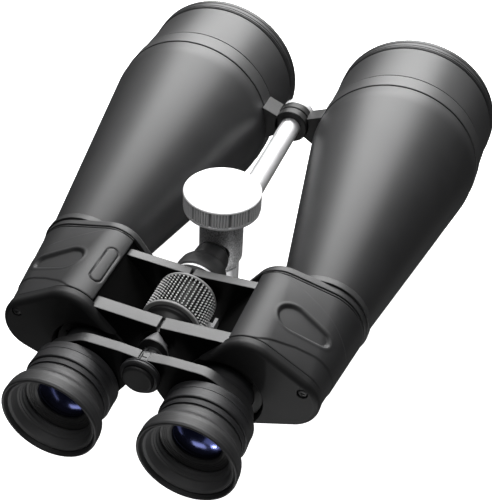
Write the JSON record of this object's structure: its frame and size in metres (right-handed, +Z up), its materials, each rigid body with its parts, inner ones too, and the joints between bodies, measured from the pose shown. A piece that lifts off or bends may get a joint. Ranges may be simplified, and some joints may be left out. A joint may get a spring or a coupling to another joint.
{
  "type": "giant astronomy binoculars",
  "caption": "Giant Porro-prism binoculars on a folding hinge, with a centre focusing wheel, a brace rod and a sliding tripod post with a lock knob.",
  "frame": {"origin": "centre of the tripod post's underside, at the mouth of its threaded hole", "axes": "+Y from the eyepieces to the objectives along the line of sight, +Z up along the tripod post, +X to the user's right"},
  "size_m": [0.2288, 0.3126, 0.1248],
  "materials": {
    "barrel_paint": "satin",
    "rim_black": "satin",
    "arm_satin": "satin",
    "housing_paint": "satin",
    "armour_rubber": "matte",
    "cover_plastic": "matte",
    "cell_black": "matte",
    "cup_rubber": "matte",
    "grip_rubber": "satin",
    "bright_metal": "polished",
    "cast_alloy": "satin",
    "brass": "satin",
    "coated_glass": "gloss",
    "prism_glass": "gloss"
  },
  "bodies": {
    "post": {"tripod_post": "bright_metal", "thread_insert": "brass", "clamp_body": "cast_alloy"},
    "pad": {"pressure_pad": "brass"},
    "knob": {"lock_knob": "bright_metal", "lock_screw": "bright_metal"},
    "bush": {"clamp_bush": "cell_black"},
    "shaft": {"brace_rod": "bright_metal", "rod_cap": "bright_metal", "rod_boot": "grip_rubber", "boot_washer": "bright_metal", "hinge_axle": "cast_alloy", "axle_bell": "arm_satin"},
    "left_half": {"objective_barrel_left": "barrel_paint", "objective_ring_left": "rim_black", "objective_cell_left": "cell_black", "objective_crown_left": "coated_glass", "objective_flint_left": "coated_glass", "brace_collar_left": "barrel_paint", "prism_housing_left": "housing_paint", "armour_left": "armour_rubber", "rear_cover_left": "cover_plastic", "cover_screw_left": "rim_black", "rear_prism_left": "prism_glass", "front_prism_left": "prism_glass", "prism_plate_left": "cast_alloy"},
    "right_half": {"objective_barrel_right": "barrel_paint", "objective_ring_right": "rim_black", "objective_cell_right": "cell_black", "objective_crown_right": "coated_glass", "objective_flint_right": "coated_glass", "brace_collar_right": "barrel_paint", "prism_housing_right": "housing_paint", "armour_right": "armour_rubber", "rear_cover_right": "cover_plastic", "cover_screw_right": "rim_black", "rear_prism_right": "prism_glass", "front_prism_right": "prism_glass", "prism_plate_right": "cast_alloy", "index_tab": "bright_metal"},
    "focus": {"focus_wheel": "arm_satin", "focus_grip": "grip_rubber"},
    "bridge": {"bridge_hub": "rim_black", "hub_cap": "rim_black", "focus_spindle": "cast_alloy"},
    "left_eyepiece": {"ocular_arm_left": "arm_satin", "eyepiece_tube_left": "rim_black", "field_lens_left": "coated_glass", "eyepiece_ring_left": "rim_black", "ocular_cell_left": "cell_black", "eye_lens_left": "coated_glass", "eyecup_left": "cup_rubber"},
    "right_eyepiece": {"ocular_arm_right": "arm_satin", "eyepiece_tube_right": "rim_black", "field_lens_right": "coated_glass"},
    "diopter": {"diopter_ring": "rim_black"},
    "right_ocular": {"ocular_cell_right": "cell_black", "eye_lens_right": "coated_glass", "eyecup_right": "cup_rubber"}
  },
  "joints": [
    {"name": "post_swivel", "type": "hinge", "parent": "post", "child": "bush", "pos_m": [0, 0, 0.0823], "axis": [0, 1, 0], "range_deg": [-15, 15]},
    {"name": "post_slide", "type": "slide", "parent": "bush", "child": "shaft", "axis": [0, 1, 0], "range_m": [-0.06, 0]},
    {"name": "right_fold", "type": "hinge", "parent": "shaft", "child": "right_half", "pos_m": [0, 0, 0.0823], "axis": [0, 1, 0], "range_deg": [-3, 17]},
    {"name": "left_fold", "type": "hinge", "parent": "shaft", "child": "left_half", "pos_m": [0, 0, 0.0823], "axis": [0, 1, 0], "range_deg": [-17, 3]},
    {"name": "bridge_travel", "type": "slide", "parent": "shaft", "child": "bridge", "axis": [0, 1, 0], "range_m": [-0.004, 0.004]},
    {"name": "focus_turn", "type": "hinge", "parent": "shaft", "child": "focus", "pos_m": [0, 0, 0.0823], "axis": [0, 1, 0], "range_deg": [-241.5, 241.5]},
    {"name": "left_eyepiece_travel", "type": "slide", "parent": "left_half", "child": "left_eyepiece", "axis": [0, 1, 0], "range_m": [-0.004, 0.004]},
    {"name": "right_eyepiece_travel", "type": "slide", "parent": "right_half", "child": "right_eyepiece", "axis": [0, 1, 0], "range_m": [-0.004, 0.004]},
    {"name": "diopter_travel", "type": "slide", "parent": "right_eyepiece", "child": "right_ocular", "axis": [0, 1, 0], "range_m": [-0.0012, 0.0012]},
    {"name": "diopter_turn", "type": "hinge", "parent": "right_eyepiece", "child": "diopter", "pos_m": [0.0337, -0.11, 0.0676], "axis": [0, 1, 0], "range_deg": [-41, 41]},
    {"name": "pad_lift", "type": "slide", "parent": "post", "child": "pad", "axis": [0, 0, 1], "range_m": [0, 0.00097]},
    {"name": "knob_turn", "type": "hinge", "parent": "pad", "child": "knob", "pos_m": [0, 0, 0.11], "axis": [0, 0, 1], "range_deg": [0, 281]}
  ],
  "couplings": [
    {"joint": "left_fold", "follows": "right_fold", "ratio": -1},
    {"joint": "focus_turn", "follows": "bridge_travel", "rad_per_m": 1050},
    {"joint": "left_eyepiece_travel", "follows": "bridge_travel", "ratio": 1},
    {"joint": "right_eyepiece_travel", "follows": "bridge_travel", "ratio": 1},
    {"joint": "diopter_turn", "follows": "diopter_travel", "rad_per_m": 590},
    {"joint": "knob_turn", "follows": "pad_lift", "rad_per_m": 5050}
  ]
}
